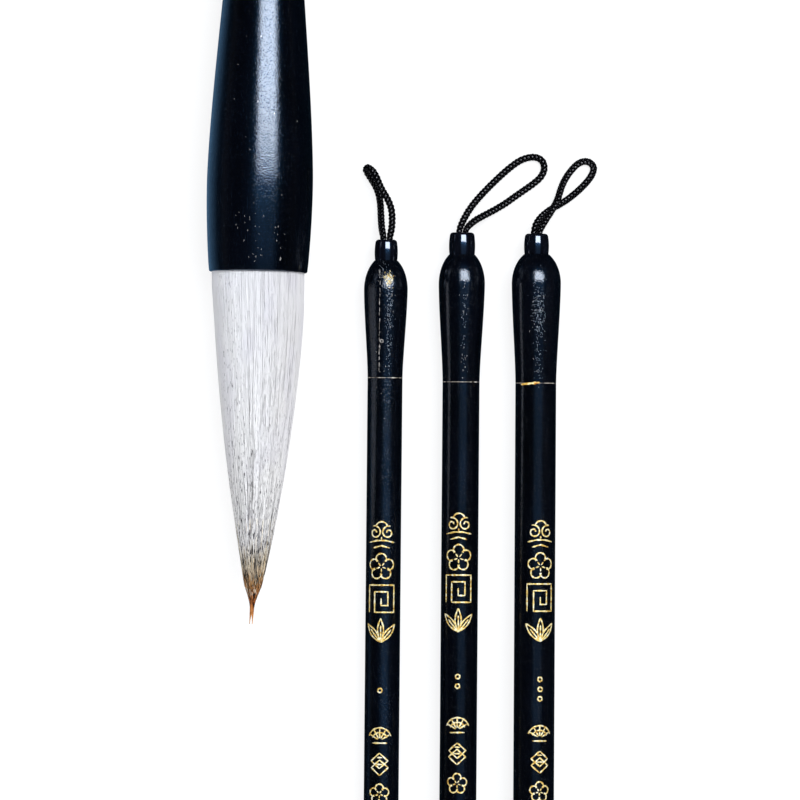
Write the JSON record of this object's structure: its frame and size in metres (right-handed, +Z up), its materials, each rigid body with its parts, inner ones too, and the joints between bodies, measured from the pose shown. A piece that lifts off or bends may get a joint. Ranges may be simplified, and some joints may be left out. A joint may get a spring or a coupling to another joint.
{
  "type": "calligraphy brush set",
  "caption": "Lacquered writing brushes of graded sizes for ink calligraphy, each with a bound tuft in a turned ferrule, and a turned finial that a hanging cord comes out of.",
  "frame": {"origin": "on the surface that the brushes lie on, under the middle of the set, cords left out", "axes": "+Z up, +Y along the handles from the tufts towards the hanging cords, +X from the giant and small brushes towards the large one"},
  "size_m": [0.0929, 0.5153, 0.0252],
  "materials": {
    "lacquer": "black lacquer, polished to a deep gloss, over turned hardwood",
    "horn": "polished black horn",
    "cord": "fine black braid",
    "white_hair": "white goat hair, smooth, with a soft sheen",
    "brown_hair": "brown stiff hair, smooth",
    "rosin": "amber rosin, glossy",
    "gilt": "gold powder in cut lines, slightly worn",
    "thread": "natural flax thread, matt"
  },
  "bodies": {
    "small_brush": {"small_shaft": "lacquer", "small_ferrule": "lacquer", "small_finial": "lacquer", "small_collar": "horn", "small_cord_knot": "cord", "small_rosin": "rosin", "small_binding": "thread", "small_hair_root": "white_hair"},
    "small_tuft": {"small_tuft_core": "brown_hair", "small_tuft_cover": "white_hair"},
    "small_cord": {"small_cord_loop": "cord"},
    "medium_brush": {"medium_shaft": "lacquer", "medium_ferrule": "lacquer", "medium_finial": "lacquer", "medium_collar": "horn", "medium_cord_knot": "cord", "medium_rosin": "rosin", "medium_binding": "thread", "medium_hair_root": "white_hair"},
    "medium_tuft": {"medium_tuft_core": "brown_hair", "medium_tuft_cover": "white_hair"},
    "medium_cord": {"medium_cord_loop": "cord"},
    "large_brush": {"large_shaft": "lacquer", "large_ferrule": "lacquer", "large_finial": "lacquer", "large_collar": "horn", "large_cord_knot": "cord", "large_rosin": "rosin", "large_binding": "thread", "large_hair_root": "white_hair"},
    "large_tuft": {"large_tuft_core": "brown_hair", "large_tuft_cover": "white_hair"},
    "large_cord": {"large_cord_loop": "cord"},
    "giant_brush": {"giant_shaft": "lacquer", "giant_ferrule": "lacquer", "giant_finial": "lacquer", "giant_collar": "horn", "giant_rosin": "rosin", "giant_binding": "thread", "giant_hair_root": "white_hair"},
    "giant_tuft": {"giant_tuft_core": "brown_hair", "giant_tuft_cover": "white_hair"}
  },
  "joints": [
    {"name": "small_lift", "type": "slide", "parent": "medium_brush", "child": "small_brush", "axis": [0, 0, 1], "range_m": [0, 0.06]},
    {"name": "large_lift", "type": "slide", "parent": "medium_brush", "child": "large_brush", "axis": [0, 0, 1], "range_m": [0, 0.06]},
    {"name": "giant_lift", "type": "slide", "parent": "medium_brush", "child": "giant_brush", "axis": [0, 0, 1], "range_m": [0, 0.06]},
    {"name": "small_tuft_bend", "type": "hinge", "parent": "small_brush", "child": "small_tuft", "pos_m": [-0.00161, -0.20131, 0.00572], "axis": [-1, 0.0093, 0], "range_deg": [-6, 12], "stiffness_Nm_per_rad": 0.05, "springref_deg": 0.2},
    {"name": "medium_tuft_bend", "type": "hinge", "parent": "medium_brush", "child": "medium_tuft", "pos_m": [0.01677, -0.20531, 0.00622], "axis": [-1, 0.0077, 0], "range_deg": [-6, 12], "stiffness_Nm_per_rad": 0.07, "springref_deg": 0.23},
    {"name": "large_tuft_bend", "type": "hinge", "parent": "large_brush", "child": "large_tuft", "pos_m": [0.03501, -0.20861, 0.00694], "axis": [-1, 0.0054, 0], "range_deg": [-6, 12], "stiffness_Nm_per_rad": 0.1, "springref_deg": 0.29},
    {"name": "giant_tuft_bend", "type": "hinge", "parent": "giant_brush", "child": "giant_tuft", "pos_m": [-0.0299, 0.01968, 0.01292], "axis": [-0.9998, 0.0201, 0], "range_deg": [-6, 10], "stiffness_Nm_per_rad": 0.6, "springref_deg": 0.43},
    {"name": "small_cord_swing", "type": "hinge", "parent": "small_brush", "child": "small_cord", "pos_m": [0.0005, 0.02758, 0.00517], "axis": [0, 0, 1], "range_deg": [-30, 35]},
    {"name": "medium_cord_swing", "type": "hinge", "parent": "medium_brush", "child": "medium_cord", "pos_m": [0.01857, 0.02928, 0.00546], "axis": [0, 0, 1], "range_deg": [-4, 45]},
    {"name": "large_cord_swing", "type": "hinge", "parent": "large_brush", "child": "large_cord", "pos_m": [0.03629, 0.02898, 0.00579], "axis": [0, 0, 1], "range_deg": [-28, 4]}
  ]
}
